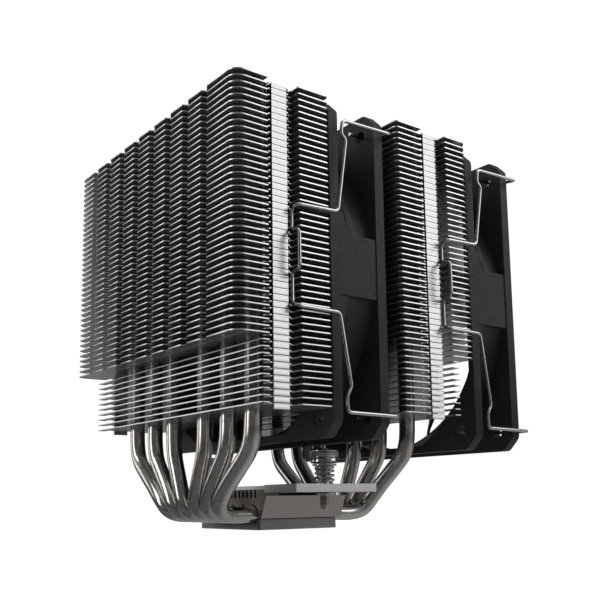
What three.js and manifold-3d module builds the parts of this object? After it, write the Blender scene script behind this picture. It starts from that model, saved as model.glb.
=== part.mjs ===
// Dual-tower CPU cooler with two 120 mm fans, in millimetres, +Z up.
// Origin: centre of the coldplate's underside. +X is the airflow, from the front tower to the rear fan.
import * as THREE from "three";
import { mergeVertices } from "three/addons/utils/BufferGeometryUtils.js";
import Module from "manifold-3d";

const wasm = await Module();
wasm.setup();

// ---------------------------------------------------------------- driving dimensions
const GAP = 0.3; // air left between pieces that touch

const TOWER_X = 35.2; // distance of each tower's pipe row from the middle
const TOWER_TOP = 149.4;
const FIN_DEPTH = 38.8; // along X
const FIN_WIDTH = 125.2; // along Y
const FIN_PITCH = 2.21;
const FIN_COUNT = 50;
const LOWER_FINS = 10; // set back for tall memory modules
const LOWER_SETBACK = 10;
const WING = 13.3; // depth of each fin's wing beside the end strip
const STRIP_WIDTH = 6.1; // folded tabs in line form this strip
const STRIP_RECESS = 2.5;
const GROOVE_DEPTH = 5.7;
const PLATES = 17; // modelled plates: about one for every third fin
const PLATE_THICKNESS = 1.2; // as much metal as three fins
const STRIP_THICKNESS = 0.8;
const HOLE_RADIUS = 3.75; // across the corners of the hexagon round a pipe

const PIPE_RADIUS = 3;
const PIPE_TOP = 156.4;
const PIPE_TOWER_Y = [43.4, 27.6, 11.8]; // in the towers, each side
const PIPE_BASE_Y = [17.25, 10.35, 3.45]; // side by side in the block
const PIPE_BASE_Z = 5.8; // half sunk in the coldplate's grooves

const COLDPLATE = { x: 36.2, y: 41.4, z: 3.85 };
const BLOCK = { x: 36.6, bottom: 4.15, top: 12.25, yBottom: 45.2, yTop: 52, ribTop: 14.6 };
const RIB_PITCH = 2.7; // of the slots along the block's ribbed edges
const BAR = { x: 36.2, waist: 17, y: 88, bottom: 13.3, top: 16.15, hole: 2.6 };
const SCREW_Y = 36.5;

const FAN_SIZE = 120;
const FAN_DEPTH = 25;
const FAN_CORNER = 5; // chamfer of the frame's corners
const FLANGE = 4;
const FAN_HOLE = 52.5; // from the axis, on Y and Z
const FAN_HOLE_RADIUS = 2.15;
const DUCT_INNER = 57.2;
const DUCT_OUTER = 59.4;
const PANEL = 22; // height of the flat panel on each side
const FLARE_RADIUS = 65; // of the intake, towards the frame's corners
const FLARE_DEPTH = 10;
const MIDDLE_FAN = { x: -14, z: 91.3, turn: 12 }; // turn: where the rotor rests, in degrees
const REAR_FAN = { x: 55.1, z: 88.8, turn: 24 };
const BLADES = 7;

const WIRE = 0.65; // radius of the clip wire

// ---------------------------------------------------------------- helpers
// A closed three.js geometry as a manifold-3d solid.
function solid(geometry) {
  const bare = new THREE.BufferGeometry().setAttribute(
    "position",
    (geometry.index ? geometry.toNonIndexed() : geometry).getAttribute("position"),
  );
  const merged = mergeVertices(bare, 1e-4);
  return new wasm.Manifold(
    new wasm.Mesh({
      numProp: 3,
      vertProperties: new Float32Array(merged.attributes.position.array),
      triVerts: new Uint32Array(merged.index.array),
    }),
  );
}

// A manifold-3d solid as a three.js geometry.
function geometryOf(body) {
  const { vertProperties, triVerts, numProp } = body.getMesh();
  const position = new Float32Array((vertProperties.length / numProp) * 3);
  for (let i = 0; i < position.length / 3; i++)
    position.set(vertProperties.subarray(i * numProp, i * numProp + 3), i * 3);
  return new THREE.BufferGeometry()
    .setAttribute("position", new THREE.BufferAttribute(position, 3))
    .setIndex(new THREE.BufferAttribute(triVerts, 1));
}

const union = (bodies) => bodies.reduce((sum, body) => sum.add(body));

// A box between two corners.
function box([x0, y0, z0], [x1, y1, z1]) {
  return solid(
    new THREE.BoxGeometry(x1 - x0, y1 - y0, z1 - z0).translate(
      (x0 + x1) / 2,
      (y0 + y1) / 2,
      (z0 + z1) / 2,
    ),
  );
}

// An outline in X and Y, with holes, extruded from z0 to z1.
function prism(outline, holes, z0, z1) {
  const toPath = (points) => points.map(([x, y]) => new THREE.Vector2(x, y));
  const shape = new THREE.Shape(toPath(outline));
  for (const hole of holes) shape.holes.push(new THREE.Path(toPath(hole)));
  return solid(
    new THREE.ExtrudeGeometry(shape, { depth: z1 - z0, bevelEnabled: false }).translate(0, 0, z0),
  );
}

// The same extrusion along X, for outlines given in Y and Z.
const prismX = (outline, holes, x0, x1) => prism(outline, holes, x0, x1).rotate([90, 0, 90]);

// Corners of a regular polygon.
const ring = (cx, cy, radius, sides, turn = 0) =>
  Array.from({ length: sides }, (_, i) => {
    const a = ((i + turn) / sides) * 2 * Math.PI;
    return [cx + radius * Math.cos(a), cy + radius * Math.sin(a)];
  });

// Corners of a rectangle about the origin with each corner cut off by c.
function chamferedRect(hx, hy, c) {
  return [
    [-hx + c, -hy],
    [hx - c, -hy],
    [hx, -hy + c],
    [hx, hy - c],
    [hx - c, hy],
    [-hx + c, hy],
    [-hx, hy - c],
    [-hx, -hy + c],
  ];
}

// A round bar or tube along X, centred on the axis y = z = 0.
const tubeX = (outer, inner, x0, x1, sides, turn = 0) =>
  prismX(ring(0, 0, outer, sides, turn), inner ? [ring(0, 0, inner, sides, turn)] : [], x0, x1);

// A round body about a vertical axis, from its profile of [radius, z].
const turned = (profile, sides) =>
  solid(
    new THREE.LatheGeometry(
      profile.map(([r, z]) => new THREE.Vector2(r, z)),
      sides,
    ).rotateX(Math.PI / 2),
  );

// A wire or pipe of round section along points, closed at both ends.
function sweep(points, radius, sides) {
  const path = points.map((p) => new THREE.Vector3(...p));
  const tangents = path.map((p, i) => {
    const before = path[Math.max(i - 1, 0)];
    const after = path[Math.min(i + 1, path.length - 1)];
    const a = p.clone().sub(before).normalize();
    const b = after.clone().sub(p).normalize();
    return a.add(b).normalize();
  });
  let normal = new THREE.Vector3(0, 1, 0.01).cross(tangents[0]).normalize();
  if (normal.lengthSq() < 0.5) normal = new THREE.Vector3(1, 0, 0);
  const vertices = [];
  path.forEach((p, i) => {
    const t = tangents[i];
    normal = normal.clone().addScaledVector(t, -normal.dot(t)).normalize();
    const side = t.clone().cross(normal);
    const along = i && i < path.length - 1 ? path[i + 1].clone().sub(p).normalize() : t;
    const mitre = 1 / Math.max(0.75, along.dot(t));
    for (const [c, s] of ring(0, 0, radius * mitre, sides, 0.5))
      vertices.push(...p.clone().addScaledVector(normal, c).addScaledVector(side, s).toArray());
  });
  const index = [];
  for (let i = 0; i < path.length - 1; i++)
    for (let k = 0; k < sides; k++) {
      const a = i * sides + k;
      const b = i * sides + ((k + 1) % sides);
      index.push(a, b, a + sides, b, b + sides, a + sides);
    }
  const last = (path.length - 1) * sides;
  for (let k = 1; k < sides - 1; k++) {
    index.push(0, k + 1, k);
    index.push(last, last + k, last + k + 1);
  }
  const body = solid(
    new THREE.BufferGeometry()
      .setAttribute("position", new THREE.Float32BufferAttribute(vertices, 3))
      .setIndex(index),
  );
  return body;
}

// Replaces each inner corner of a path by a short arc of `steps` chords.
function rounded(points, radius, steps) {
  const out = [points[0]];
  for (let i = 1; i < points.length - 1; i++) {
    const p = new THREE.Vector3(...points[i]);
    const back = new THREE.Vector3(...points[i - 1]).sub(p);
    const on = new THREE.Vector3(...points[i + 1]).sub(p);
    const reach = Math.min(radius, back.length() * 0.49, on.length() * 0.49);
    const a = p.clone().addScaledVector(back.normalize(), reach);
    const b = p.clone().addScaledVector(on.normalize(), reach);
    for (let k = 0; k <= steps; k++) {
      const t = k / steps;
      const q = a
        .clone()
        .multiplyScalar((1 - t) ** 2)
        .addScaledVector(p, 2 * t * (1 - t))
        .addScaledVector(b, t * t);
      out.push(q.toArray());
    }
  }
  out.push(points[points.length - 1]);
  return out;
}

const mirrorY = ([x, y, z]) => [x, -y, z];

// ---------------------------------------------------------------- materials
const looks = {
  fin_metal: [0x4a4c50, 1, 0.3],
  pipe_metal: [0x6b6660, 1, 0.25],
  base_metal: [0x55504c, 1, 0.4],
  copper_plate: [0x6a6662, 1, 0.35],
  fan_plastic: [0x26262a, 0, 0.7],
  rotor_plastic: [0x303035, 0, 0.6],
  wire_metal: [0xb9b9bb, 1, 0.2],
  screw_metal: [0x8c8985, 1, 0.3],
  spring_metal: [0x77736e, 1, 0.3],
  shaft_metal: [0xa8a8aa, 1, 0.25],
  magnet: [0x3a3836, 0, 0.8],
  coil: [0x9a5a2c, 1, 0.5],
  board: [0x1d4a2c, 0, 0.6],
};

const cooler = new THREE.Group();
cooler.name = "cpu_tower_cooler";

function add(name, look, body) {
  const [color, metalness, roughness] = looks[look];
  const material = new THREE.MeshStandardMaterial({ color, metalness, roughness });
  material.name = look;
  const mesh = new THREE.Mesh(geometryOf(body), material);
  mesh.name = name;
  cooler.add(mesh);
}

// ---------------------------------------------------------------- base
const plate = chamferedRect(COLDPLATE.x / 2, COLDPLATE.y / 2, 0.8);
const channel = (PIPE_RADIUS + GAP) / Math.cos(Math.PI / 10);
const channels = [...PIPE_BASE_Y, ...PIPE_BASE_Y.map((y) => -y)].map((y) =>
  tubeX(channel, 0, -BLOCK.x, BLOCK.x, 10, 0.5).translate([0, y, PIPE_BASE_Z]),
);
add("coldplate", "copper_plate", prism(plate, [], 0, COLDPLATE.z).subtract(union(channels)));

// The clamping block: flared ends, pipe channels open to the coldplate, and two ribbed edges.
function baseBlock() {
  const yb = BLOCK.yBottom / 2;
  const yt = BLOCK.yTop / 2;
  const hx = BLOCK.x / 2;
  let block = prismX(
    [
      [-yb, BLOCK.bottom],
      [yb, BLOCK.bottom],
      [yt, BLOCK.top],
      [-yt, BLOCK.top],
    ],
    [],
    -hx,
    hx,
  );
  const ribY = 20.6;
  const land = BAR.waist / 2 + 0.5;
  for (const side of [-1, 1]) {
    const x = [side * land, side * hx].sort((a, b) => a - b);
    block = block.add(box([x[0], -ribY, BLOCK.top - 0.5], [x[1], ribY, BLOCK.ribTop]));
    const slot = side > 0 ? [x[0] + 4, x[1] + 1] : [x[0] - 1, x[1] - 4];
    for (let y = -7 * RIB_PITCH; y < 7.5 * RIB_PITCH; y += RIB_PITCH)
      block = block.subtract(box([slot[0], y - 0.7, 11.6], [slot[1], y + 0.7, 15]));
  }
  block = block.subtract(union(channels));
  for (const y of [...PIPE_BASE_Y, ...PIPE_BASE_Y.map((v) => -v)]) {
    const half = PIPE_RADIUS + GAP;
    block = block.subtract(
      box([-hx - 1, y - half, BLOCK.bottom - 1], [hx + 1, y + half, PIPE_BASE_Z]),
    );
  }
  return block;
}
add("base_block", "base_metal", baseBlock());

// The mounting bar: wide ends with a screw hole, and a waist that lies on the block.
{
  const w = BAR.x / 2;
  const n = BAR.waist / 2;
  const y = BAR.y / 2;
  const s = 21.5;
  add(
    "mounting_bar",
    "base_metal",
    prism(
      [
        [-w, -y],
        [w, -y],
        [w, -s - 3],
        [w - 3, -s],
        [n, -s],
        [n, s],
        [w - 3, s],
        [w, s + 3],
        [w, y],
        [-w, y],
        [-w, s + 3],
        [-w + 3, s],
        [-n, s],
        [-n, -s],
        [-w + 3, -s],
        [-w, -s - 3],
      ],
      [-1, 1].map((k) => ring(0, k * SCREW_Y, BAR.hole, 10)),
      BAR.bottom,
      BAR.top,
    ),
  );
}

// Sprung mounting screws: the washer rides on the spring, the screw turns in it.
for (const [side, y] of [
  ["left", -SCREW_Y],
  ["right", SCREW_Y],
]) {
  const shank = 1.95;
  add(
    "mounting_screw_" + side,
    "screw_metal",
    turned(
      [
        [0, 7],
        [1.2, 7],
        [1.65, 7.6],
        [1.65, 12],
        [shank, 12.3],
        [shank, 23.6],
        [5.15, 23.6],
        [5.15, 28.2],
        [4.5, 28.9],
        [3.2, 28.9],
        [3.2, 27.4],
        [0, 27.4],
      ],
      12,
    ).translate([0, y, 0]),
  );
  add(
    "retaining_ring_" + side,
    "shaft_metal",
    prism(ring(0, 0, 3.6, 10), [ring(0, 0, shank + GAP, 10)], 12.4, 12.9).translate([0, y, 0]),
  );
  add(
    "screw_washer_" + side,
    "screw_metal",
    prism(ring(0, 0, 4.4, 12), [ring(0, 0, shank + GAP, 12)], 22.7, 23.3).translate([0, y, 0]),
  );
  const turns = 4.25;
  const perTurn = 8;
  const coil = Array.from({ length: turns * perTurn + 1 }, (_, i) => {
    const a = (i / perTurn) * 2 * Math.PI;
    const z = 16.95 + (i / (turns * perTurn)) * (22.2 - 16.95);
    return [3.2 * Math.cos(a), y + 3.2 * Math.sin(a), z];
  });
  add("screw_spring_" + side, "spring_metal", sweep(coil, 0.45, 4));
}

// ---------------------------------------------------------------- heat pipes
// One pipe runs up both towers and lies flat through the block between them.
// Each step of the bend: distance in from the tower's pipe row, share of the way to the base's spacing, Z.
const PIPE_BEND = [
  [0, 0.01, 36],
  [0, 0.04, 31],
  [0, 0.13, 26.5],
  [0, 0.36, 21.4],
  [0.1, 0.63, 15.7],
  [0.5, 0.82, 10.9],
  [1.7, 0.905, 7.9],
  [4.2, 0.95, 6.2],
  [7.8, 0.98, 5.6],
  [12, 0.995, 5.55],
  [17.2, 1, PIPE_BASE_Z],
];

function pipePath(yTower, yBase) {
  const right = [
    [TOWER_X, yTower, PIPE_TOP],
    [TOWER_X, yTower, PIPE_TOP - 1.2],
    ...PIPE_BEND.map(([inward, share, z]) => [TOWER_X - inward, yTower + (yBase - yTower) * share, z]),
  ];
  return [...right, ...right.map(([x, y, z]) => [-x, y, z]).reverse()];
}

let pipeNumber = 0;
for (const side of [-1, 1])
  for (const i of side < 0 ? [0, 1, 2] : [2, 1, 0]) {
    pipeNumber += 1;
    const path = pipePath(side * PIPE_TOWER_Y[i], side * PIPE_BASE_Y[i]);
    add("heat_pipe_" + pipeNumber, "pipe_metal", sweep(path, PIPE_RADIUS, 8));
  }

// ---------------------------------------------------------------- fin stacks
// One fin's outline about the pipe row; `outer` is its reach on the tower's outer side.
function finOutline(outer, corner) {
  const inner = FIN_DEPTH / 2;
  const w = FIN_WIDTH / 2;
  const g = inner - WING;
  const s = STRIP_WIDTH / 2;
  const end = [
    [-outer, w - corner],
    [-outer + corner, w],
    [-g, w],
    [-g, w - GROOVE_DEPTH],
    [-s, w - STRIP_RECESS],
    [s, w - STRIP_RECESS],
    [g, w - GROOVE_DEPTH],
    [g, w],
    [inner - 1.5, w],
    [inner, w - 1.5],
  ];
  return [...end, ...end.map(([x, y]) => [x, -y]).reverse()];
}

function finStack() {
  const w = FIN_WIDTH / 2 - STRIP_RECESS;
  const s = STRIP_WIDTH / 2;
  const lowest = TOWER_TOP - FIN_PITCH * (FIN_COUNT - 1);
  const firstLower = TOWER_TOP - FIN_PITCH * (FIN_COUNT - LOWER_FINS - 0.5);
  const holes = [];
  for (const y of PIPE_TOWER_Y)
    for (const side of [-1, 1]) holes.push(ring(0, side * y, HOLE_RADIUS, 6));
  const bodies = [];
  for (let i = 0; i < PLATES; i++) {
    const z = lowest + ((TOWER_TOP - lowest) * i) / (PLATES - 1);
    const outline =
      z > firstLower
        ? finOutline(FIN_DEPTH / 2, 3.6)
        : finOutline(FIN_DEPTH / 2 - LOWER_SETBACK, 0.6);
    bodies.push(prism(outline, holes, z - PLATE_THICKNESS, z));
  }
  for (const side of [-1, 1]) {
    const y = [side * w, side * (w - STRIP_THICKNESS)].sort((a, b) => a - b);
    bodies.push(box([-s, y[0], lowest - FIN_PITCH], [s, y[1], TOWER_TOP - 0.1]));
  }
  return union(bodies);
}

const stack = finStack();
add("front_fin_stack", "fin_metal", stack.translate([-TOWER_X, 0, 0]));
add("rear_fin_stack", "fin_metal", stack.rotate([0, 0, 180]).translate([TOWER_X, 0, 0]));

// ---------------------------------------------------------------- fans
// Built with the intake face on x = 0 and the axis on y = z = 0.
// The intake widens towards the corners: a cone cut off by the frame's four sides.
function flare(wall, x0) {
  const half = DUCT_INNER + wall;
  const slope = (FLARE_RADIUS - DUCT_INNER) / FLARE_DEPTH;
  const profile = [
    [0, x0],
    [FLARE_RADIUS + wall - slope * x0, x0],
    [half, FLARE_DEPTH],
    [0, FLARE_DEPTH],
  ];
  return turned(profile, 30)
    .rotate([0, 90, 0])
    .intersect(box([x0, -half, -half], [FLARE_DEPTH, half, half]));
}

function fanFrame() {
  const h = FAN_SIZE / 2;
  const square = chamferedRect(h, h, FAN_CORNER);
  const holes = [];
  for (const y of [-1, 1])
    for (const z of [-1, 1])
      holes.push(ring(y * FAN_HOLE, z * FAN_HOLE, FAN_HOLE_RADIUS, 8, 0.5));
  const wall = DUCT_OUTER - DUCT_INNER;
  const bore = tubeX(DUCT_INNER, 0, -1, FAN_DEPTH + 1, 30).add(flare(0, -1));
  const panel = box([2, 57.5, -PANEL / 2], [FAN_DEPTH - 2, 59.7, PANEL / 2]);
  const shell = union([
    prismX(square, holes, 0, FLANGE),
    prismX(square, holes, FAN_DEPTH - FLANGE, FAN_DEPTH),
    tubeX(DUCT_OUTER, 0, 1, FAN_DEPTH - 1, 30),
    flare(wall, 1),
    panel,
    panel.mirror([0, 1, 0]),
  ]).subtract(bore);
  const hub = tubeX(20, 0, 20.5, 24.5, 20);
  const bearingTube = tubeX(5, 3.9, 5, 21, 12);
  const strut = box([20.8, -2.2, 18], [24.2, 2.2, DUCT_INNER + 1]);
  const struts = [25, 115, 205, 295].map((a) => strut.rotate([a, 0, 0]));
  return union([shell, hub, bearingTube, ...struts]);
}

// A blade from the hub to the tip, turned and swept forward; x runs from intake to exhaust.
function blade() {
  const stations = [
    { r: 18.8, pitch: 42, sweep: -6, chord: 17, thick: 2.2 },
    { r: 31, pitch: 37, sweep: 1, chord: 22, thick: 2 },
    { r: 44, pitch: 32, sweep: 11, chord: 25, thick: 1.8 },
    { r: 55.6, pitch: 28, sweep: 23, chord: 26, thick: 1.6 },
  ];
  const vertices = [];
  for (const { r, pitch, sweep: swept, chord, thick } of stations)
    for (const [along, across] of [
      [-0.5, 0],
      [0, -0.5],
      [0.5, 0],
      [0, 0.5],
    ]) {
      const p = (pitch * Math.PI) / 180;
      const bow = -0.09 * chord * (1 - 4 * along * along);
      const x = 11 + along * chord * Math.sin(p) + (across * thick + bow) * Math.cos(p);
      const arc = along * chord * Math.cos(p) - (across * thick + bow) * Math.sin(p);
      const a = (swept * Math.PI) / 180 + arc / r;
      vertices.push(x, -r * Math.sin(a), r * Math.cos(a));
    }
  const index = [];
  for (let i = 0; i < stations.length - 1; i++)
    for (let k = 0; k < 4; k++) {
      const a = i * 4 + k;
      const b = i * 4 + ((k + 1) % 4);
      if (k % 2) index.push(a, b, b + 4, a, b + 4, a + 4);
      else index.push(a, b, a + 4, b, b + 4, a + 4);
    }
  const last = (stations.length - 1) * 4;
  index.push(0, 2, 1, 0, 3, 2, last, last + 1, last + 2, last, last + 2, last + 3);
  return solid(
    new THREE.BufferGeometry()
      .setAttribute("position", new THREE.Float32BufferAttribute(vertices, 3))
      .setIndex(index),
  );
}

function impeller() {
  const cap = tubeX(20, 0, 1.2, 19.8, 24).subtract(tubeX(18.2, 0, 3.2, 21, 24));
  const one = blade();
  const blades = Array.from({ length: BLADES }, (_, i) => one.rotate([(i * 360) / BLADES, 0, 0]));
  return union([cap, ...blades]).subtract(tubeX(18.2, 0, 3.2, 21, 24));
}

function stator() {
  const core = tubeX(9, 5.3, 8, 16.5, 12);
  const pole = box([8.6, -2, 6.5], [15.9, 2, 12]).add(box([8.6, -4.6, 11.2], [15.9, 4.6, 13]));
  return union([core, ...[0, 90, 180, 270].map((a) => pole.rotate([a, 0, 0]))]);
}

for (const [prefix, { x, z, turn }] of [
  ["middle_fan_", MIDDLE_FAN],
  ["rear_fan_", REAR_FAN],
]) {
  const place = (name, look, body) => add(prefix + name, look, body.translate([x, 0, z]));
  place("frame", "fan_plastic", fanFrame());
  place("impeller", "rotor_plastic", impeller().rotate([turn, 0, 0]));
  place("shaft", "shaft_metal", tubeX(1.2, 0, 3.5, 19.6, 8));
  place("bearing", "shaft_metal", tubeX(3.6, 1.5, 6, 19.4, 12));
  place("stator", "coil", stator());
  place("magnet_ring", "magnet", tubeX(17.6, 15.2, 6, 17.8, 18));
  place("circuit_board", "board", tubeX(16, 5.5, 18.7, 20.2, 16));
}

// ---------------------------------------------------------------- wire clips
// Heights of the wire's middle part; its ends reach the holes of the fan it holds.
const CLIP = { runTop: 107.3, runLow: 73, handleTop: 99.2, handleLow: 84.4 };

function clipPath(fan, towerX) {
  const wing = -FIN_WIDTH / 2;
  const top = fan.z + FAN_HOLE;
  const low = fan.z - FAN_HOLE;
  const face = fan.x + FAN_DEPTH;
  const hook = face + WIRE + 0.5;
  const over = wing - WIRE - 0.25;
  const groove = towerX + 4.3;
  const deep = wing + 2.1;
  const handle = wing - 2.2;
  return [
    [face - FLANGE - 5, -FAN_HOLE, top],
    [hook, -FAN_HOLE, top],
    [hook, over, top - 1.6],
    [fan.x + 3.4, over, top - 2.2],
    [fan.x + 2.7, over, top - 7.4],
    [fan.x + 4.8, over, top - 9],
    [fan.x + 0.6, over, CLIP.runTop + 0.6],
    [groove, over, CLIP.runTop],
    [groove, deep, CLIP.runTop - 1.4],
    [groove, deep, CLIP.handleTop],
    [groove, handle, CLIP.handleTop - 0.8],
    [groove, handle, CLIP.handleLow + 0.8],
    [groove, deep, CLIP.handleLow],
    [groove, deep, CLIP.runLow + 1.4],
    [groove, over, CLIP.runLow],
    [fan.x + 0.6, over, CLIP.runLow - 0.3],
    [fan.x + 5, over, low + 8.9],
    [fan.x + 2.9, over, low + 6],
    [fan.x + 3.2, over, low + 0.4],
    [hook, over, low],
    [hook, -FAN_HOLE, low],
    [face - FLANGE - 5, -FAN_HOLE, low],
  ];
}

for (const [prefix, fan, towerX] of [
  ["middle_clip_", MIDDLE_FAN, -TOWER_X],
  ["rear_clip_", REAR_FAN, TOWER_X],
]) {
  const path = clipPath(fan, towerX);
  add(prefix + "left", "wire_metal", sweep(rounded(path, 1.6, 1), WIRE, 5));
  add(prefix + "right", "wire_metal", sweep(rounded(path.map(mirrorY), 1.6, 1), WIRE, 5));
}

export default cooler;
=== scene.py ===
"""Looks of the dual-tower CPU cooler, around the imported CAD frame.

Shapes are worked out in millimetres, with +Z up and +X along the airflow.
piece() turns them to metres.
"""
import math

import bpy
from mathutils import Matrix, Vector
from mathutils.geometry import tessellate_polygon


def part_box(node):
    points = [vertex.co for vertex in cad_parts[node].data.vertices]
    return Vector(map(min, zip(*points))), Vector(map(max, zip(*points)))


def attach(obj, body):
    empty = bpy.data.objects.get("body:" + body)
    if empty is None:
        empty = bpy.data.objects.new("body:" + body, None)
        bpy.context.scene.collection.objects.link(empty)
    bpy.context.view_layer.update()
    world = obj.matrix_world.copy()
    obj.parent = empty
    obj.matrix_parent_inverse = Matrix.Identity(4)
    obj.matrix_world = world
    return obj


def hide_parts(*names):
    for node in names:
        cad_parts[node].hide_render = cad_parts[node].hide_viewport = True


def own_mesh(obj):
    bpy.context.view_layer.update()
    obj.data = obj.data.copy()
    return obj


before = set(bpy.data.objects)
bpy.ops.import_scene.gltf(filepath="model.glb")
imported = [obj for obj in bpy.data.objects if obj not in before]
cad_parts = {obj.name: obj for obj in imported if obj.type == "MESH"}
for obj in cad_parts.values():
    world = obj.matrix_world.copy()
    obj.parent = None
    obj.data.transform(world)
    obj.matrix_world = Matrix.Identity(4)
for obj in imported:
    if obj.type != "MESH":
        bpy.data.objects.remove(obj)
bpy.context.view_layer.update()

# ---------------------------------------------------------------- sizes, in millimetres
MM = 0.001


def span(node):
    """A CAD node's lowest and highest corners."""
    low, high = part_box(node)
    return Vector(low) / MM, Vector(high) / MM


def middle(node):
    low, high = span(node)
    return (low + high) / 2


stack_low, stack_high = span("front_fin_stack")
TOWER_X = -middle("front_fin_stack").x
TOWER_TOP = stack_high.z
FIN_WIDTH = stack_high.y - stack_low.y
FIN_DEPTH = stack_high.x - stack_low.x
FIN_COUNT = 50
FIN_PITCH = 2.21
FIN_SHEET = 0.4
LOWER_FINS = 10
LOWER_SETBACK = 10
UPPER_CORNER, LOWER_CORNER, INNER_CORNER = 4.2, 0.5, 1.5
WING = 13.3
STRIP_WIDTH = 6.1
STRIP_RECESS = 2.5
GROOVE_DEPTH = 4.5
SLOT_DEPTH = 5.6
TAB_THICK = 0.5
TAB_BEND = 0.35
TAB_GAP = 0.26
TOOTH_COUNT = 8
FIRST_TOOTH = -41.3
TOOTH_PITCH = 12.88
TOOTH_NOTCH = 4.1
TOOTH_DEPTH = 2.0

PIPE_RADIUS = 3
PIPE_HOLE_GAP = 0.06
PIPE_TOP = span("heat_pipe_1")[1].z
PIPE_TOWER_Y = (43.4, 27.6, 11.8)
PIPE_BASE_Y = (17.25, 10.35, 3.45)

FAN_HALF = 60
FAN_DEPTH = 25
FAN_CORNER = 5
FLANGE = 4
FAN_HOLE = 52.5
FAN_HOLE_RADIUS = 2.15
HOLE_RIM_RADIUS = 4.1
HOLE_RIM_DEPTH = 0.2
DUCT_INNER = 57.2
DUCT_OUTER = DUCT_INNER + 0.6
FLARE_RADIUS = 65
FLARE_DEPTH = 10
PANEL = 22
PANEL_FACE = 59.6
STRUT_HALF_WIDTH = 2.2
STRUT_ANGLES = (25, 115, 205, 295)
BLADES = 7
BLADE_DEPTH = 11
BLADE_BOW = 0.09
ROTOR_TURN = {"middle": 12, "rear": 24}
FANS = {
    prefix: Vector((span(prefix + "_fan_frame")[0].x, 0, middle(prefix + "_fan_frame").z))
    for prefix in ("middle", "rear")
}
WIRE = 0.65
CLIP_BEND = 1.7
SCREW_Y = 36.5
THREADS, THREAD_FOOT, THREAD_PITCH = 5, 8.3, 0.7
SPRING_RADIUS, SPRING_WIRE, SPRING_TURNS = 3.2, 0.45, 4.25


# ---------------------------------------------------------------- materials
class Look:
    """A material whose nodes are added one by one. An input is a value or another node's socket."""

    def __init__(self, name):
        self.material = bpy.data.materials.new(name)
        self.material.use_nodes = True
        self.tree = self.material.node_tree
        self.shader = self.tree.nodes["Principled BSDF"]
        self.place = self.node("TexCoord").outputs["Object"]

    def feed(self, made, inputs):
        for key, value in inputs.items():
            if isinstance(value, bpy.types.NodeSocket):
                self.tree.links.new(value, made.inputs[key])
            else:
                made.inputs[key].default_value = value

    def node(self, kind, inputs=None, **settings):
        made = self.tree.nodes.new("ShaderNode" + kind)
        for key, value in settings.items():
            setattr(made, key, value)
        self.feed(made, inputs or {})
        return made

    def noise(self, stretch, detail=3.0, rough=0.55):
        """Noise with `stretch` features per metre along X, Y and Z."""
        mapped = self.node("Mapping", {"Vector": self.place, "Scale": stretch})
        inputs = {"Vector": mapped.outputs[0], "Scale": 1.0, "Detail": detail, "Roughness": rough}
        return self.node("TexNoise", inputs).outputs["Fac"]

    def spread(self, value, low, high):
        """The middle of a noise's range, opened out to run from low to high."""
        inputs = {"Value": value, "From Min": 0.3, "From Max": 0.7, "To Min": low, "To Max": high}
        return self.node("MapRange", inputs).outputs[0]

    def blend(self, factor, a, b):
        made = self.node("Mix", data_type="RGBA")
        for socket, value in ((0, factor), (6, a), (7, b)):
            if isinstance(value, bpy.types.NodeSocket):
                self.tree.links.new(value, made.inputs[socket])
            else:
                made.inputs[socket].default_value = value
        return made.outputs[2]

    def relief(self, height, strength, distance):
        inputs = {"Height": height, "Strength": strength, "Distance": distance}
        return self.node("Bump", inputs).outputs[0]


def rgb(r, g, b):
    return (r, g, b, 1.0)


BLOTCHES = (45.0, 45.0, 45.0)
GRAIN_DEPTH = 0.00004
FLOW_MARKS = (14.0, 60.0, 60.0)
MOULD_DEPTH = 0.00005
PLASTIC_SHEEN = 0.22


def metal(name, dark, light, rough, grain, groove, metallic=1.0):
    """Plated metal: fine grain stretched along the tool marks, and wide, soft changes of tone."""
    look = Look(name)
    fine = look.noise(grain, 4.0)
    wide = look.noise(BLOTCHES, 2.0)
    tone = look.node("Math", {0: fine, 1: wide}, operation="ADD").outputs[0]
    half = look.node("Math", {0: tone, 1: 0.5}, operation="MULTIPLY").outputs[0]
    look.feed(
        look.shader,
        {
            "Base Color": look.blend(look.spread(half, 0.0, 1.0), rgb(*dark), rgb(*light)),
            "Metallic": metallic,
            "Roughness": look.spread(half, rough[0], rough[1]),
            "Normal": look.relief(fine, groove, GRAIN_DEPTH),
        },
    )
    return look.material


def plastic(name, dark, light, rough, grain=2600.0, depth=0.25):
    """Moulded plastic: a fine spark-eroded texture and faint flow marks."""
    look = Look(name)
    fine = look.noise((grain, grain, grain), 2.0)
    flow = look.noise(FLOW_MARKS, 3.0)
    specks = look.noise((grain / 4, grain / 4, grain / 4), 2.0)
    look.feed(
        look.shader,
        {
            "Base Color": look.blend(look.spread(flow, 0.0, 1.0), rgb(*dark), rgb(*light)),
            "Roughness": look.spread(specks, rough[0], rough[1]),
            "Normal": look.relief(fine, depth, MOULD_DEPTH),
            "Specular IOR Level": PLASTIC_SHEEN,
        },
    )
    return look.material


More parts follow.
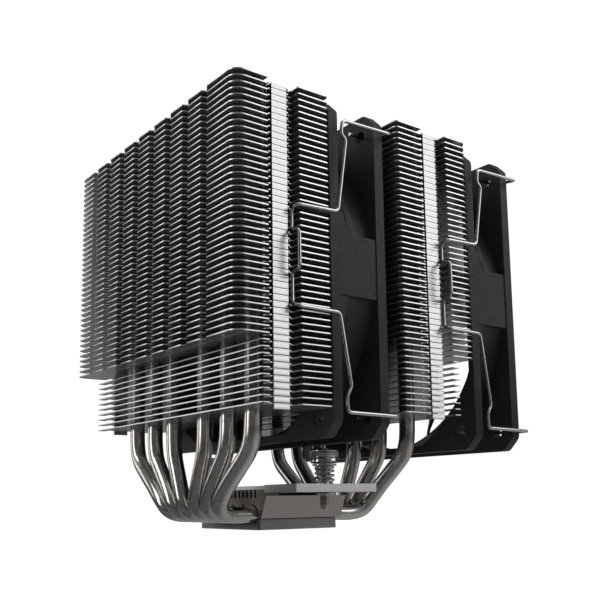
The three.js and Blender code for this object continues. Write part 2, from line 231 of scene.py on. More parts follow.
# darkest and lightest tone, roughness range, grain per metre along X, Y and Z, strength of the grain
METALS = {
    "fin_plate": ((0.48, 0.48, 0.50), (0.58, 0.58, 0.60), (0.14, 0.22), (300, 40, 300), 0.06, 0.94),
    # the fins' cut edges: the fin metal made lighter, a painted highlight for the bright edge lines,
    # which the softboxes also light
    "fin_edge": ((0.66, 0.66, 0.67), (0.82, 0.82, 0.82), (0.28, 0.42), (900, 900, 4000), 0.10),
    "fin_tab": ((0.42, 0.42, 0.43), (0.50, 0.50, 0.50), (0.26, 0.36), (500, 500, 120), 0.08),
    "pipe": ((0.40, 0.38, 0.36), (0.74, 0.71, 0.68), (0.09, 0.28), (1500, 1500, 600), 0.60),
    "base": ((0.38, 0.355, 0.34), (0.48, 0.45, 0.43), (0.30, 0.44), (1800, 60, 2600), 0.12),
    "bar": ((0.70, 0.68, 0.66), (0.84, 0.82, 0.80), (0.28, 0.42), (70, 900, 2600), 0.12),
    "coldplate": ((0.24, 0.235, 0.23), (0.33, 0.32, 0.31), (0.30, 0.42), (60, 2400, 2400), 0.12),
    "wire": ((0.46, 0.46, 0.47), (0.62, 0.62, 0.62), (0.12, 0.22), (700, 700, 700), 0.08),
    "screw": ((0.40, 0.39, 0.38), (0.56, 0.55, 0.54), (0.08, 0.18), (300, 300, 5000), 0.10),
    "spring": ((0.38, 0.37, 0.36), (0.55, 0.54, 0.53), (0.16, 0.28), (900, 900, 900), 0.10),
    "shaft": ((0.55, 0.55, 0.56), (0.70, 0.70, 0.70), (0.18, 0.28), (4000, 300, 300), 0.08),
    "copper": ((0.62, 0.25, 0.10), (0.80, 0.40, 0.20), (0.22, 0.36), (2600, 300, 2600), 0.30),
}
# darkest and lightest tone, roughness range, and for some the texture per metre and its strength
PLASTICS = {
    "frame": ((0.010, 0.010, 0.012), (0.016, 0.016, 0.019), (0.42, 0.56)),
    "rotor": ((0.017, 0.017, 0.020), (0.026, 0.026, 0.030), (0.34, 0.46)),
    "magnet": ((0.020, 0.018, 0.017), (0.045, 0.042, 0.040), (0.6, 0.8), 1500.0, 0.4),
    "board": ((0.012, 0.075, 0.030), (0.020, 0.110, 0.045), (0.30, 0.45), 900.0, 0.15),
    "chip": ((0.012, 0.012, 0.012), (0.022, 0.022, 0.022), (0.5, 0.6), 2000.0, 0.2),
}
LOOKS = {name: metal(name, *values) for name, values in METALS.items()}
LOOKS.update({name: plastic(name, *values) for name, values in PLASTICS.items()})


# ---------------------------------------------------------------- mesh helpers
class Shape:
    """Closed shells gathered into one mesh, each face with the look it shows."""

    def __init__(self):
        self.points, self.faces, self.looks = [], [], []

    def add(self, points, faces, look):
        start = len(self.points)
        self.points += [tuple(p) for p in points]
        self.faces += [tuple(start + i for i in f) for f in faces]
        self.looks += [look] * len(faces) if isinstance(look, str) else list(look)

    def copy(self, other, move):
        """Every shell of another Shape again, moved by a function of the point."""
        self.add([move(p) for p in other.points], other.faces, other.looks)


def piece(name, shape, body, replaces=(), sharp=35.0, bevel=0.0):
    """The Shape as an object that rides on a CAD body and stands for CAD nodes."""
    mesh = bpy.data.meshes.new(name)
    mesh.from_pydata([Vector(p) * MM for p in shape.points], [], shape.faces)
    names = sorted(set(shape.looks))
    for look in names:
        mesh.materials.append(LOOKS[look])
    mesh.polygons.foreach_set("material_index", [names.index(look) for look in shape.looks])
    mesh.shade_smooth()
    mesh.set_sharp_from_angle(angle=math.radians(sharp))
    mesh.update()
    made = bpy.data.objects.new(name, mesh)
    bpy.context.scene.collection.objects.link(made)
    if bevel:
        round_edges(made, bevel, sharp)
    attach(made, body)
    if replaces:
        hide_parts(*replaces)
    return made


def round_edges(made, width, angle):
    """Breaks the sharp edges, so that they catch the light."""
    edges = made.modifiers.new("edges", "BEVEL")
    edges.width = width * MM
    edges.segments = 2
    edges.limit_method = "ANGLE"
    edges.angle_limit = math.radians(angle)
    edges.harden_normals = True


def circle(cx, cy, radius, sides, start=0.0, turn=360.0):
    """Points round an arc, without its end point on a full turn."""
    full = abs(turn) >= 360
    steps = sides if full else sides + 1
    angles = [math.radians(start + turn * i / sides) for i in range(steps)]
    return [(cx + radius * math.cos(a), cy + radius * math.sin(a)) for a in angles]


def anticlockwise(ring):
    """Whether a loop of flat points runs anticlockwise."""
    return sum(a[0] * b[1] - b[0] * a[1] for a, b in zip([ring[-1], *ring[:-1]], ring)) > 0


def plate(outline, holes, z0, z1, face_look, edge_look):
    """A flat plate between two heights: (points, faces, looks)."""
    rings = [outline, *holes]
    flat = [Vector((x, y, 0)) for ring in rings for x, y in ring]
    count = len(flat)
    points = [(p.x, p.y, z) for z in (z0, z1) for p in flat]
    faces = []
    for tri in tessellate_polygon([[Vector((x, y, 0)) for x, y in ring] for ring in rings]):
        a, b, c = (flat[i] for i in tri)
        up = (b - a).cross(c - a).z > 0
        top = tri if up else tuple(reversed(tri))
        faces.append(tuple(i + count for i in top))
        faces.append(tuple(reversed(top)))
    looks = [face_look] * len(faces)
    start = 0
    for number, ring in enumerate(rings):
        size = len(ring)
        outward = anticlockwise(ring) == (number == 0)
        for i in range(size):
            a, b = start + i, start + (i + 1) % size
            side = (a, b, b + count, a + count)
            faces.append(side if outward else tuple(reversed(side)))
        looks += [edge_look] * size
        start += size
    return points, faces, looks


def revolve(profile, sides):
    """A closed profile of (radius, height) turned about the Z axis."""
    points, faces, size = [], [], len(profile)
    for i in range(sides):
        a = 2 * math.pi * i / sides
        points += [(r * math.cos(a), r * math.sin(a), h) for r, h in profile]
    for i in range(sides):
        here, there = i * size, (i + 1) % sides * size
        for k in range(size):
            n = (k + 1) % size
            faces.append((here + k, there + k, there + n, here + n))
    return points, faces if anticlockwise(profile) else [f[::-1] for f in faces]


def smooth_path(corners, radius, steps):
    """A path with each inner corner replaced by a short curve that starts `radius` before it."""
    path = [Vector(p) for p in corners]
    out = [path[0]]
    for before, p, after in zip(path, path[1:], path[2:]):
        back, on = before - p, after - p
        reach = min(radius, back.length * 0.49, on.length * 0.49)
        a, b = p + back.normalized() * reach, p + on.normalized() * reach
        for k in range(steps + 1):
            t = k / steps
            out.append(a * (1 - t) ** 2 + p * (2 * t * (1 - t)) + b * t**2)
    return out + [path[-1]]


def tube(path, radius, sides):
    """A round bar with flat ends; `radius` is a number or a function of the point's index."""
    path = [Vector(p) for p in path]
    radius_at = radius if callable(radius) else lambda i: radius
    last = len(path) - 1
    ahead, behind = path[1:] + path[-1:], path[:1] + path[:-1]
    tangents = [(a - b).normalized() for a, b in zip(ahead, behind)]
    normal = tangents[0].orthogonal().normalized()
    points, faces = [], []
    for i, (p, t) in enumerate(zip(path, tangents)):
        normal = (normal - t * normal.dot(t)).normalized()
        side = t.cross(normal)
        for x, y in circle(0, 0, radius_at(i), sides):
            points.append(p + normal * x + side * y)
    for i in range(last):
        for k in range(sides):
            a, b = i * sides + k, i * sides + (k + 1) % sides
            faces.append((a, b, b + sides, a + sides))
    faces.append(tuple(range(sides))[::-1])
    faces.append(tuple(last * sides + k for k in range(sides)))
    return points, faces


def along_x(origin):
    """Turns a shape made about +Z so that its axis lies along +X from origin."""
    o = Vector(origin)
    return lambda p: o + Vector((p[2], p[0], p[1]))


def turned(origin, profile, sides, look):
    """A Shape revolved about a fan's axis; the profile is (radius, depth from the intake face)."""
    made = Shape()
    points, faces = revolve(profile, sides)
    move = along_x(origin)
    made.add([move(p) for p in points], faces, look)
    return made


# ---------------------------------------------------------------- fin stacks
def fin_outline(lower):
    """One fin about its pipe row, with its outer side at -X.

    The upper fins have a toothed outer edge and round corners.
    """
    outer = FIN_DEPTH / 2 - (LOWER_SETBACK if lower else 0)
    inner, w = FIN_DEPTH / 2, FIN_WIDTH / 2
    g, s = inner - WING, STRIP_WIDTH / 2
    corner, soft = (LOWER_CORNER if lower else UPPER_CORNER), INNER_CORNER
    near = circle(-outer + corner, -w + corner, corner, 8, 180, 90)
    # half of the end groove, from its mouth in to the strip: (distance from the pipe row, depth)
    groove = [
        (g + 0.3, 0),
        (g, 0.3),
        (g, GROOVE_DEPTH - 0.4),
        (g - 0.4, GROOVE_DEPTH),
        (s + 1.9, GROOVE_DEPTH - 0.1),
        (s + 1.0, STRIP_RECESS + 0.5),
        (s + 0.5, STRIP_RECESS + 0.5),
        (s + 0.45, SLOT_DEPTH),
        (s + 0.1, SLOT_DEPTH),
        (s, STRIP_RECESS),
    ]
    near += [(-x, -w + deep) for x, deep in groove]
    near += [(x, -w + deep) for x, deep in reversed(groove)]
    near += circle(inner - soft, -w + soft, soft, 5, 270, 90)
    far = [(x, -y) for x, y in reversed(near)]
    teeth = []
    if not lower:
        for k in reversed(range(TOOTH_COUNT)):
            wall = FIRST_TOOTH + k * TOOTH_PITCH
            teeth += [
                (-outer, wall),
                (-outer + TOOTH_DEPTH, wall - 0.8),
                (-outer + TOOTH_DEPTH - 0.3, wall - 1.3),
                (-outer, wall - TOOTH_NOTCH),
            ]
    return near + far + teeth


def fin_stack(name, turn):
    """Fifty fins, each with a tab folded down at both ends.

    The tabs in line form the bright strips up the tower's two ends.
    """
    bore = PIPE_RADIUS + PIPE_HOLE_GAP
    holes = [circle(0, side * y, bore, 24) for y in PIPE_TOWER_Y for side in (-1, 1)]
    w, s = FIN_WIDTH / 2 - STRIP_RECESS, STRIP_WIDTH / 2
    fins = {lower: Shape() for lower in (False, True)}
    for lower, fin in fins.items():
        # the fins' cut edges take the lighter edge metal, a painted highlight
        fin.add(*plate(fin_outline(lower), holes, -FIN_SHEET, 0, "fin_plate", "fin_edge"))
        drop, thick, bend = FIN_PITCH - TAB_GAP, TAB_THICK, TAB_BEND
        for side in (-1, 1):
            section = [
                (w, -bend),
                (w - bend * 0.3, -bend * 0.3),
                (w - bend, 0.0),
                (w - thick - bend, 0.0),
                (w - thick - bend, -FIN_SHEET),
                (w - thick, -FIN_SHEET - 0.1),
                (w - thick, -drop),
                (w, -drop),
            ]
            points = [(x, side * y, z) for x in (-s, s) for y, z in section]
            size = len(section)
            ring = [(k, (k + 1) % size) for k in range(size)]
            faces = [(k, n, n + size, k + size) for k, n in ring]
            faces += [tuple(range(size))[::-1], tuple(range(size, 2 * size))]
            if side > 0:
                faces = [f[::-1] for f in faces]
            fin.add(points, faces, "fin_tab")
    stack = Shape()
    shift = Vector((-TOWER_X, 0, 0))
    for i in range(FIN_COUNT):
        lift = Vector((0, 0, TOWER_TOP - i * FIN_PITCH))
        lower = i >= FIN_COUNT - LOWER_FINS
        stack.copy(fins[lower], lambda p, lift=lift: turn @ (Vector(p) + shift + lift))
    return piece(name, stack, "cooler", [name.replace("fins", "fin_stack")])


fin_stack("front_fins", Matrix.Identity(3))
fin_stack("rear_fins", Matrix.Rotation(math.pi, 3, "Z"))


# ---------------------------------------------------------------- heat pipes
# distance in from the tower's pipe row, share of the way to the base's spacing, height
PIPE_BEND = [
    (0, 0, 44),
    (0, 0.01, 36),
    (0, 0.04, 31),
    (0, 0.13, 26.5),
    (0, 0.36, 21.4),
    (0.1, 0.63, 15.7),
    (0.5, 0.82, 10.9),
    (1.7, 0.905, 7.9),
    (4.2, 0.95, 6.2),
    (7.8, 0.98, 5.6),
    (12, 0.995, 5.55),
    (17.2, 1, 5.8),
    (24, 1, 5.8),
]
# the tip's closed end: distance down from the top, and the radius there
PIPE_TIP = [
    (0, 0.15),
    (0.15, 0.9),
    (0.6, 1.45),
    (1.6, 1.9),
    (2.8, 2.35),
    (4.2, 2.85),
    (5.2, PIPE_RADIUS),
]


def flowing(points, steps):
    """A smooth line from the first point to the last but one; the last one only steers it."""
    out, last = [], len(points) - 1
    for i in range(1, last):
        before, a, b, after = (points[min(max(k, 0), last)] for k in range(i - 2, i + 2))
        for k in range(steps):
            t = k / steps
            out.append(
                a + (b - before) * (t / 2)
                + (before * 2 - a * 5 + b * 4 - after) * (t * t / 2)
                + (a * 3 - before - b * 3 + after) * (t**3 / 2)
            )
    return out


def pipe_path(tower_y, base_y):
    """Down one tower, in under the block, flat through it, and up the other tower."""
    step = base_y - tower_y
    bend = [Vector((TOWER_X - inward, tower_y + step * share, z)) for inward, share, z in PIPE_BEND]
    right = [Vector((TOWER_X, tower_y, PIPE_TOP - drop)) for drop, radius in PIPE_TIP]
    right += flowing(bend, 4)
    left = [Vector((-p.x, p.y, p.z)) for p in reversed(right)]
    return right + left


def pipe_radius(last):
    """Full round, but for the closed and narrowed tips."""

    def radius(i):
        k = min(i, last - i)
        return PIPE_TIP[k][1] if k < len(PIPE_TIP) else PIPE_RADIUS

    return radius


pipe_rows = [(-1, 0), (-1, 1), (-1, 2), (1, 2), (1, 1), (1, 0)]
for number, (side, row) in enumerate(pipe_rows, 1):
    path = pipe_path(side * PIPE_TOWER_Y[row], side * PIPE_BASE_Y[row])
    pipe = Shape()
    pipe.add(*tube(path, pipe_radius(len(path) - 1), 36), "pipe")
    piece(f"pipe_{number}", pipe, "cooler", [f"heat_pipe_{number}"], 60)


# ---------------------------------------------------------------- base
def dress(node, look, bevel):
    """A CAD node that keeps its shape, with a better material and broken edges."""
    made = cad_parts[node]
    made.data.materials.clear()
    made.data.materials.append(LOOKS[look])
    round_edges(made, bevel, 25)


dress("coldplate", "coldplate", 0.25)
dress("base_block", "base", 0.18)
dress("mounting_bar", "bar", 0.25)


# the mounting screw from its tip up, and into the recess in its head: (radius, height)
SCREW_PROFILE = [
    (0.01, 7.0),
    (0.9, 7.0),
    (1.25, 7.35),
    (1.65, 8.0),
    (1.65, 11.8),
    (1.95, 12.3),
    (1.95, 23.6),
    (4.7, 23.6),
    (5.15, 24.0),
    (5.15, 25.3),
    (4.95, 25.6),
    (4.95, 25.9),
    (5.15, 26.2),
    (5.15, 28.1),
    (4.6, 28.8),
    (3.6, 28.85),
    (3.2, 28.5),
    (3.2, 26.2),
    (0.01, 26.0),
]


def spring_line(foot, top):
    """The spring's centre line, with a flat turn at each end."""
    per_turn = 28
    steps = SPRING_TURNS * per_turn
    rise = top - 0.05 - foot - 2 * SPRING_WIRE
    path = []
    for i in range(int(steps) + 1):
        along = i / steps
        ease = min(max((along * SPRING_TURNS - 0.6) / (SPRING_TURNS - 1.2), 0), 1)
        climb = 0.12 * along if along < 0.14 else 0.02 + 0.96 * ease
        a = i / per_turn * 2 * math.pi
        z = foot + SPRING_WIRE + rise * climb
        path.append(Vector((SPRING_RADIUS * math.cos(a), SPRING_RADIUS * math.sin(a), z)))
    return path


def screw(side, y):
    """A recessed head on a stepped shank, its washer, retaining ring and spring."""
    at = Vector((0, y, 0))
    washer_low, washer_high = (corner.z for corner in span("screw_washer_" + side))
    made = Shape()
    points, faces = revolve(SCREW_PROFILE, 48)
    made.add([Vector(p) + at for p in points], faces, "screw")
    hexagon = circle(0, 0, 2.1, 6)
    points, faces, looks = plate(circle(0, 0, 3.15, 6, 30), [hexagon], 26.0, 27.3, "screw", "screw")
    made.add([Vector(p) + at for p in points], faces, looks)
    for turn in range(THREADS):
        lift = Vector((0, 0, THREAD_FOOT + turn * THREAD_PITCH))
        points, faces = revolve([(1.6, 0), (1.95, 0.3), (1.6, 0.6)], 32)
        made.add([Vector(p) + at + lift for p in points], faces, "screw")
    piece("screw_" + side, made, "screw_" + side, ["mounting_screw_" + side])

    ring = Shape()
    arc = circle(0, 0, 3.6, 30, 30, 300) + circle(0, 0, 2.25, 30, 330, -300)
    points, faces, looks = plate(arc, [], 12.4, 12.9, "shaft", "shaft")
    ring.add([Vector(p) + at for p in points], faces, looks)
    old = ["retaining_ring_" + side]
    piece("ring_" + side, ring, "screw_" + side, old, bevel=0.1)

    washer = Shape()
    low, high = washer_low, washer_high
    points, faces = revolve([(2.25, low), (4.4, low), (4.4, high), (2.25, high)], 48)
    washer.add([Vector(p) + at for p in points], faces, "screw")
    old = ["screw_washer_" + side]
    piece("washer_" + side, washer, "screw_carrier_" + side, old, bevel=0.12)

    coil = Shape()
    foot = span("screw_spring_" + side)[0].z
    path = [at + p for p in spring_line(foot, washer_low)]
    coil.add(*tube(path, SPRING_WIRE, 12), "spring")
    made = piece("spring_" + side, coil, "cooler", ["screw_spring_" + side], 60)
    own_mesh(made)


screw("left", -SCREW_Y)
screw("right", SCREW_Y)


# ---------------------------------------------------------------- fans
# the duct's wall: distance out from the opening's edge, and depth from the intake face
DUCT_WALL = [
    (0.5, 0),
    (0.15, 0.3),
    (0.15, 1),
    (1.8, 1.5),
    (1.8, 4),
    (2, 7),
    (2, FLARE_DEPTH),
    (2, 12.6),
    (1, 13.2),
    (1, 21),
    (0.8, 24.9),
    (0.2, 24.6),
    (0, 24),
    (0, 17),
    (0, FLARE_DEPTH),
    (0, 8),
    (0, 6),
    (0, 4),
    (0, 2),
    (0, 0.3),
]
# (radius, depth from the intake face)
HUB = [(0.01, 20.6), (19.2, 20.6), (19.8, 21.0), (19.8, 24.0), (19.2, 24.6), (0.01, 24.6)]
BEARING_TUBE = [(3.95, 5), (5, 5), (5, 21), (3.95, 21)]
ROTOR_CAP = [
    (0.01, 1.2),
    (18.4, 1.2),
    (19.3, 1.5),
    (19.8, 2.2),
    (20, 3.2),
    (20, 19.8),
    (18.2, 19.8),
    (18.2, 3.2),
    (0.01, 3.2),
]
# each blade from hub to tip: radius, pitch, sweep, chord and thickness
BLADE_STATIONS = [
    (18.8, 42, -6, 17, 2.1),
    (31, 37, 1, 22, 1.9),
    (44, 32, 11, 25, 1.7),
    (55.6, 28, 23, 26, 1.5),
]


def duct_ring(x, grow):
    """The duct's opening at a depth x, as a loop. The intake widens towards the four corners."""
    cone = FLARE_RADIUS - (FLARE_RADIUS - DUCT_INNER) * min(x / FLARE_DEPTH, 1)
    loop = []
    for y, z in circle(0, 0, 1, 144):
        r = max(min(cone, DUCT_INNER / max(abs(y), abs(z))), DUCT_INNER) + grow
        loop.append((y * r, z * r))
    return loop


def fan_frame(prefix, origin):
    """Two square flanges, open corners between them, a stepped duct, struts, hub, side panels."""
    move = along_x(origin)
    made = Shape()

    def put(points, faces, look="frame"):
        made.add([move(p) for p in points], faces, look)

    h, c = FAN_HALF, FAN_HALF - FAN_CORNER
    corners = [(c, -h), (h, -c), (h, c), (c, h), (-c, h), (-h, c), (-h, -c), (-c, -h)]
    loop = smooth_path([(x, y, 0) for x, y in [*corners, *corners[:2]]], 1.2, 3)
    square = [(p.x, p.y) for p in loop[5:-1]]
    centres = [(y * FAN_HOLE, z * FAN_HOLE) for y in (-1, 1) for z in (-1, 1)]
    holes = [circle(y, z, FAN_HOLE_RADIUS, 24) for y, z in centres]
    rims = [circle(y, z, HOLE_RIM_RADIUS, 32) for y, z in centres]
    for outer_face, inward, wide in ((0, 1, 0.4), (FAN_DEPTH, -1, 0)):
        bore = duct_ring(outer_face, wide)
        rim_floor = outer_face + inward * HOLE_RIM_DEPTH
        inner_face = outer_face + inward * FLANGE
        for a, b, openings in ((outer_face, rim_floor, rims), (rim_floor, inner_face, holes)):
            put(*plate(square, [bore, *openings], min(a, b), max(a, b), "frame", "frame"))

    rings = [[(y, z, x) for y, z in duct_ring(x, grow)] for grow, x in DUCT_WALL]
    size = len(rings[0])
    faces = []
    for i in range(len(rings)):
        here, there = i * size, (i + 1) % len(rings) * size
        for k in range(size):
            n = (k + 1) % size
            faces.append((here + k, here + n, there + n, there + k))
    put([p for ring in rings for p in ring], faces)
    put(*revolve(HUB, 72))
    put(*revolve(BEARING_TUBE, 36))
    w = STRUT_HALF_WIDTH
    section = [(-w, 21.4), (0, 20.8), (w, 21.4), (w, 23.6), (0, 24.3), (-w, 23.6)]
    for angle in STRUT_ANGLES:
        spin = Matrix.Rotation(math.radians(angle), 3, "Z")
        points = [spin @ Vector((x, r, z)) for r in (18, 38, DUCT_OUTER) for x, z in section]
        faces = []
        for i in range(2):
            for k in range(6):
                a, b = i * 6 + k, i * 6 + (k + 1) % 6
                faces.append((a, a + 6, b + 6, b))
        faces += [tuple(range(6)), tuple(range(12, 18))[::-1]]
        put(points, faces)
    for side in (-1, 1):
        face, root, half = side * PANEL_FACE, side * DUCT_OUTER, PANEL / 2
        panel = [(face, -half), (face, half), (root, half), (root, -half)]
        put(*plate(panel, [], 2, FAN_DEPTH - 2, "frame", "frame"))
    piece(prefix + "_frame", made, "cooler", [prefix + "_fan_frame"], bevel=0.35)


def blade_station(t):
    """Radius, pitch, sweep, chord and thickness at t from hub to tip."""
    at = t * (len(BLADE_STATIONS) - 1)
    i = min(int(at), len(BLADE_STATIONS) - 2)
    f = at - i
    return [a + (b - a) * f for a, b in zip(BLADE_STATIONS[i], BLADE_STATIONS[i + 1])]


def smooth_station(t):
    """The same, averaged over a short length so that the blade has no kinks."""
    if not 0 < t < 1:
        return blade_station(t)
    samples = [blade_station(min(max(t + d, 0), 1)) for d in (-0.12, 0, 0.12)]
    return [sum(values) / 3 for values in zip(*samples)]


def impeller(prefix, origin):
    """Seven swept blades on a hub with a round-edged cap."""
    move = along_x(origin)
    made = Shape()
    points, faces = revolve(ROTOR_CAP, 96)
    made.add([move(p) for p in points], faces, "rotor")
    rows, across = 14, 10
    loop = [(k / across - 0.5, 1) for k in range(across + 1)]
    loop += [(0.5 - k / across, -1) for k in range(1, across)]
    for b in range(BLADES):
        points, faces = [], []
        for row in range(rows + 1):
            r, pitch, swept, chord, thick = smooth_station(row / rows)
            pitch = math.radians(pitch)
            turn = math.radians(swept + ROTOR_TURN[prefix])
            for along, side in loop:
                full = thick * math.sqrt(max(1 - (2 * along) ** 2, 0)) * 0.5 * side
                bow = -BLADE_BOW * chord * (1 - 4 * along * along)
                x = BLADE_DEPTH + along * chord * math.sin(pitch) + (full + bow) * math.cos(pitch)
                arc = along * chord * math.cos(pitch) - (full + bow) * math.sin(pitch)
                a = turn + arc / r - 2 * math.pi * b / BLADES
                points.append(Vector(origin) + Vector((x, -r * math.sin(a), r * math.cos(a))))
        size = len(loop)
        for row in range(rows):
            for k in range(size):
                p, q = row * size + k, row * size + (k + 1) % size
                faces.append((p, p + size, q + size, q))
        faces += [tuple(range(size)), tuple(rows * size + k for k in range(size))[::-1]]
        made.add(points, faces, "rotor")
    old = [prefix + "_fan_impeller"]
    piece(prefix + "_impeller", made, prefix + "_rotor", old, 50)


def motor(prefix, origin):
    """Shaft, bearing, magnet ring, wound stator and its circuit board, inside the hub."""
    rotor, name = prefix + "_rotor", prefix + "_fan_"
    outline = [(0.01, 3.5), (1.0, 3.5), (1.2, 3.8), (1.2, 19.3), (1.0, 19.6), (0.01, 19.6)]
    shaft = turned(origin, outline, 32, "shaft")
    piece(prefix + "_shaft", shaft, rotor, [name + "shaft"])
    magnet = turned(origin, [(15.2, 6), (17.6, 6), (17.6, 17.8), (15.2, 17.8)], 72, "magnet")
    piece(prefix + "_magnet", magnet, rotor, [name + "magnet_ring"], bevel=0.3)
    bearing = turned(origin, [(1.5, 6), (3.6, 6), (3.6, 19.4), (1.5, 19.4)], 48, "shaft")
    piece(prefix + "_bearing", bearing, "cooler", [name + "bearing"], bevel=0.3)

    stator = turned(origin, [(5.3, 8), (9, 8), (9, 16.5), (5.3, 16.5)], 48, "shaft")
    move = along_x(origin)
    for quarter in range(4):
        spin = Matrix.Rotation(math.pi / 2 * quarter, 3, "Z")
        tooth = [(-1.4, 8.4), (1.4, 8.4), (1.4, 14.2), (-1.4, 14.2)]
        shoe = circle(0, 0, 15, 8, 72, 36) + circle(0, 0, 13.8, 8, 108, -36)
        for outline, low, high in ((tooth, 7.5, 12.5), (shoe, 7, 13)):
            points, faces, looks = plate(outline, [], low, high, "shaft", "shaft")
            stator.add([move(spin @ Vector(p)) for p in points], faces, looks)
        for turn in range(6):
            y, half, low, high = 9.3 + turn * 0.75, 2.0, 6.9, 13.1
            around = [(half, low), (half, high), (-half, high), (-half, low), (half, low)]
            points, faces = tube(smooth_path([(x, y, z) for x, z in around], 0.8, 3), 0.36, 8)
            stator.add([move(spin @ p) for p in points], faces, "copper")
    piece(prefix + "_stator", stator, "cooler", [name + "stator"])

    board = Shape()
    rim, bore = circle(0, 0, 16, 60), circle(0, 0, 5.5, 36)
    points, faces, looks = plate(rim, [bore], 18.7, 19.6, "board", "board")
    board.add([move(p) for p in points], faces, looks)
    for angle, size in ((20, 1.6), (70, 0.8), (110, 0.8), (160, 2.0), (250, 1.0), (310, 1.4)):
        spin = Matrix.Rotation(math.radians(angle), 3, "Z")
        box = [(9.5, -size), (9.5 + size, -size), (9.5 + size, size), (9.5, size)]
        points, faces, looks = plate(box, [], 19.6, 20.15, "chip", "chip")
        board.add([move(spin @ Vector(p)) for p in points], faces, looks)
    piece(prefix + "_board", board, "cooler", [name + "circuit_board"])


for prefix, origin in FANS.items():
    fan_frame(prefix, origin)
    impeller(prefix, origin)
    motor(prefix, origin)


# ---------------------------------------------------------------- wire clips
RUN_TOP, RUN_LOW = 107.3, 73.0
HANDLE_TOP, HANDLE_LOW = 99.2, 84.4


def clip_path(fan, tower_x):
    """From the upper hole of the fan's far flange, across the tower's groove, to the lower hole."""
    wing = -FIN_WIDTH / 2
    top, low = fan.z + FAN_HOLE, fan.z - FAN_HOLE
    face = fan.x + FAN_DEPTH
    hook, over = face + WIRE + 0.5, wing - WIRE - 0.25
    groove, deep, handle = tower_x + 4.3, wing + 2.1, wing - 2.1
    return [
        (face - FLANGE - 5, -FAN_HOLE, top),
        (hook, -FAN_HOLE, top),
        (hook, over, top - 1.6),
        (fan.x + 3.4, over, top - 2.2),
        (fan.x + 2.7, over, top - 7.4),
        (fan.x + 4.8, over, top - 9),
        (fan.x + 0.6, over, RUN_TOP + 0.6),
        (groove, over, RUN_TOP),
        (groove, deep, RUN_TOP - 1.4),
        (groove, deep, HANDLE_TOP),
        (groove, handle, HANDLE_TOP - 0.8),
        (groove, handle, HANDLE_LOW + 0.8),
        (groove, deep, HANDLE_LOW),
        (groove, deep, RUN_LOW + 1.4),
        (groove, over, RUN_LOW),
        (fan.x + 0.6, over, RUN_LOW - 0.3),
        (fan.x + 5, over, low + 8.9),
        (fan.x + 2.9, over, low + 6),
        (fan.x + 3.2, over, low + 0.4),
        (hook, over, low),
        (hook, -FAN_HOLE, low),
        (face - FLANGE - 5, -FAN_HOLE, low),
    ]


for prefix, tower_x in (("middle", -TOWER_X), ("rear", TOWER_X)):
    for side, flip in (("left", 1), ("right", -1)):
        path = [Vector((x, y * flip, z)) for x, y, z in clip_path(FANS[prefix], tower_x)]
        wire = Shape()
        wire.add(*tube(smooth_path(path, CLIP_BEND, 6), WIRE, 16), "wire")
        clip, body = f"{prefix}_clip_{side}", f"{prefix}_wire_clip_{side}"
        piece(clip + "_wire", wire, body, [clip], 60)


# ---------------------------------------------------------------- floor, light and camera
# metres; the floor glows a little so that it stays as white as the wall behind
FLOOR_HALF, FLOOR_GAP, FLOOR_GLOW = 6.0, 0.0002, 0.92
WALL_WHITE = 1.05
# the room that the reflections see: level of grey, from straight down (0) to straight up (1)
ROOM_TONES = [
    (0.0, 0.36),
    (0.32, 0.34),
    (0.43, 0.16),
    (0.48, 0.16),
    (0.50, 0.40),
    (0.62, 0.24),
    (1.0, 0.55),
]
# the room is dimmer on the -X side
ROOM_SIDES = {"From Min": -0.35, "From Max": 0.45, "To Min": 0.35, "To Max": 1.0}
# azimuth, elevation, distance, width, height (metres) and power
SOFTBOXES = {
    "right_front": (42, 30, 1.1, 0.7, 0.9, 3.6),
    "left": (-100, 22, 1.1, 0.35, 1.0, 3.2),
    "left_back": (-146, 20, 1.2, 0.6, 0.9, 2.2),
    "overhead": (-20, 80, 1.1, 0.9, 0.9, 2.0),
}
AIM = (0.01, 0, 0.08)
CAMERA_PLACE = (-192.09, -280.65, 10.52)
CAMERA_AZIMUTH, CAMERA_ELEVATION, CAMERA_ROLL = -36.496, -8.569, -0.763
CAMERA_LENS, CAMERA_SHIFT = 51.3, (0.004, 0.119)


def make_floor():
    """A pale floor under the coldplate, wide enough to pass for a studio sweep."""
    mesh = bpy.data.meshes.new("floor")
    half = FLOOR_HALF
    corners = [(-half, -half, 0), (half, -half, 0), (half, half, 0), (-half, half, 0)]
    mesh.from_pydata(corners, [], [(0, 1, 2, 3)])
    floor = bpy.data.objects.new("floor", mesh)
    bpy.context.scene.collection.objects.link(floor)
    look = Look("floor_paint")
    shade = look.spread(look.noise((3.0, 3.0, 3.0), 2.0), 0.0, 1.0)
    look.feed(
        look.shader,
        {
            "Base Color": look.blend(shade, rgb(0.90, 0.90, 0.90), rgb(0.93, 0.93, 0.93)),
            "Roughness": 0.9,
            "Specular IOR Level": 0.1,
            "Emission Color": rgb(1, 1, 1),
            "Emission Strength": FLOOR_GLOW,
        },
    )
    mesh.materials.append(look.material)
    floor.visible_glossy = False
    floor.location.z = -FLOOR_GAP


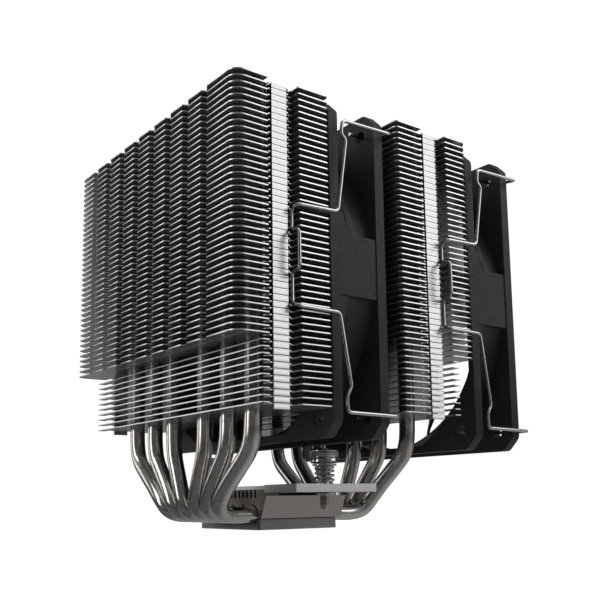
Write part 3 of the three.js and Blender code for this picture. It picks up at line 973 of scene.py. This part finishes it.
def make_world():
    """White behind the object, while its reflections see a dim room."""
    world = bpy.data.worlds.new("studio")
    bpy.context.scene.world = world
    world.use_nodes = True
    tree = world.node_tree
    tree.nodes.clear()

    def node(kind):
        return tree.nodes.new("ShaderNode" + kind)

    direction, split, ramp = node("TexCoord"), node("SeparateXYZ"), node("ValToRGB")
    tree.links.new(direction.outputs["Generated"], split.inputs[0])
    height = node("MapRange")
    height.inputs["From Min"].default_value = -1
    tree.links.new(split.outputs["Z"], height.inputs["Value"])
    tree.links.new(height.outputs[0], ramp.inputs[0])
    stops = ramp.color_ramp.elements
    for number, (at, level) in enumerate(ROOM_TONES):
        stop = stops[number] if number < 2 else stops.new(at)
        stop.position = at
        stop.color = (level, level, level, 1)
    room, white = node("Background"), node("Background")
    pick, ray, out = node("MixShader"), node("LightPath"), node("OutputWorld")
    tree.links.new(ramp.outputs[0], room.inputs["Color"])
    side = node("MapRange")
    for key, value in ROOM_SIDES.items():
        side.inputs[key].default_value = value
    tree.links.new(split.outputs["X"], side.inputs["Value"])
    tree.links.new(side.outputs[0], room.inputs["Strength"])
    white.inputs["Color"].default_value = (1, 1, 1, 1)
    white.inputs["Strength"].default_value = WALL_WHITE
    tree.links.new(ray.outputs["Is Camera Ray"], pick.inputs[0])
    tree.links.new(room.outputs[0], pick.inputs[1])
    tree.links.new(white.outputs[0], pick.inputs[2])
    tree.links.new(pick.outputs[0], out.inputs[0])


def softbox(name, azimuth, elevation, distance, width, height, power):
    """An area light that looks at the object's middle. Azimuth 0 is in front (-Y), 90 at +X."""
    a, e = math.radians(azimuth), math.radians(elevation)
    away = Vector((math.sin(a) * math.cos(e), -math.cos(a) * math.cos(e), math.sin(e)))
    light = bpy.data.lights.new(name, "AREA")
    light.shape = "RECTANGLE"
    light.size, light.size_y, light.energy = width, height, power
    made = bpy.data.objects.new(name, light)
    made.location = Vector(AIM) + away * distance
    made.rotation_euler = away.to_track_quat("Z", "Y").to_euler()
    bpy.context.scene.collection.objects.link(made)


def make_camera():
    """Low on the front left, looking a little up, so that the fins' undersides show."""
    azimuth, elevation = math.radians(CAMERA_AZIMUTH), math.radians(CAMERA_ELEVATION)
    roll, level = math.radians(CAMERA_ROLL), math.cos(elevation)
    back = Vector((math.sin(azimuth) * level, -math.cos(azimuth) * level, math.sin(elevation)))
    right = Vector((math.cos(azimuth), math.sin(azimuth), 0))
    up = back.cross(right)
    x = right * math.cos(roll) + up * math.sin(roll)
    y = up * math.cos(roll) - right * math.sin(roll)
    data = bpy.data.cameras.new("camera")
    data.sensor_width, data.lens = 36, CAMERA_LENS
    data.shift_x, data.shift_y = CAMERA_SHIFT
    data.clip_start = 0.01
    camera = bpy.data.objects.new("camera", data)
    camera.matrix_world = Matrix((x, y, back)).transposed().to_4x4()
    camera.location = Vector(CAMERA_PLACE) * MM
    bpy.context.scene.collection.objects.link(camera)
    bpy.context.scene.camera = camera


make_floor()
make_world()
for name, values in SOFTBOXES.items():
    softbox(name, *values)
make_camera()
bpy.context.scene.view_settings.view_transform = "Standard"
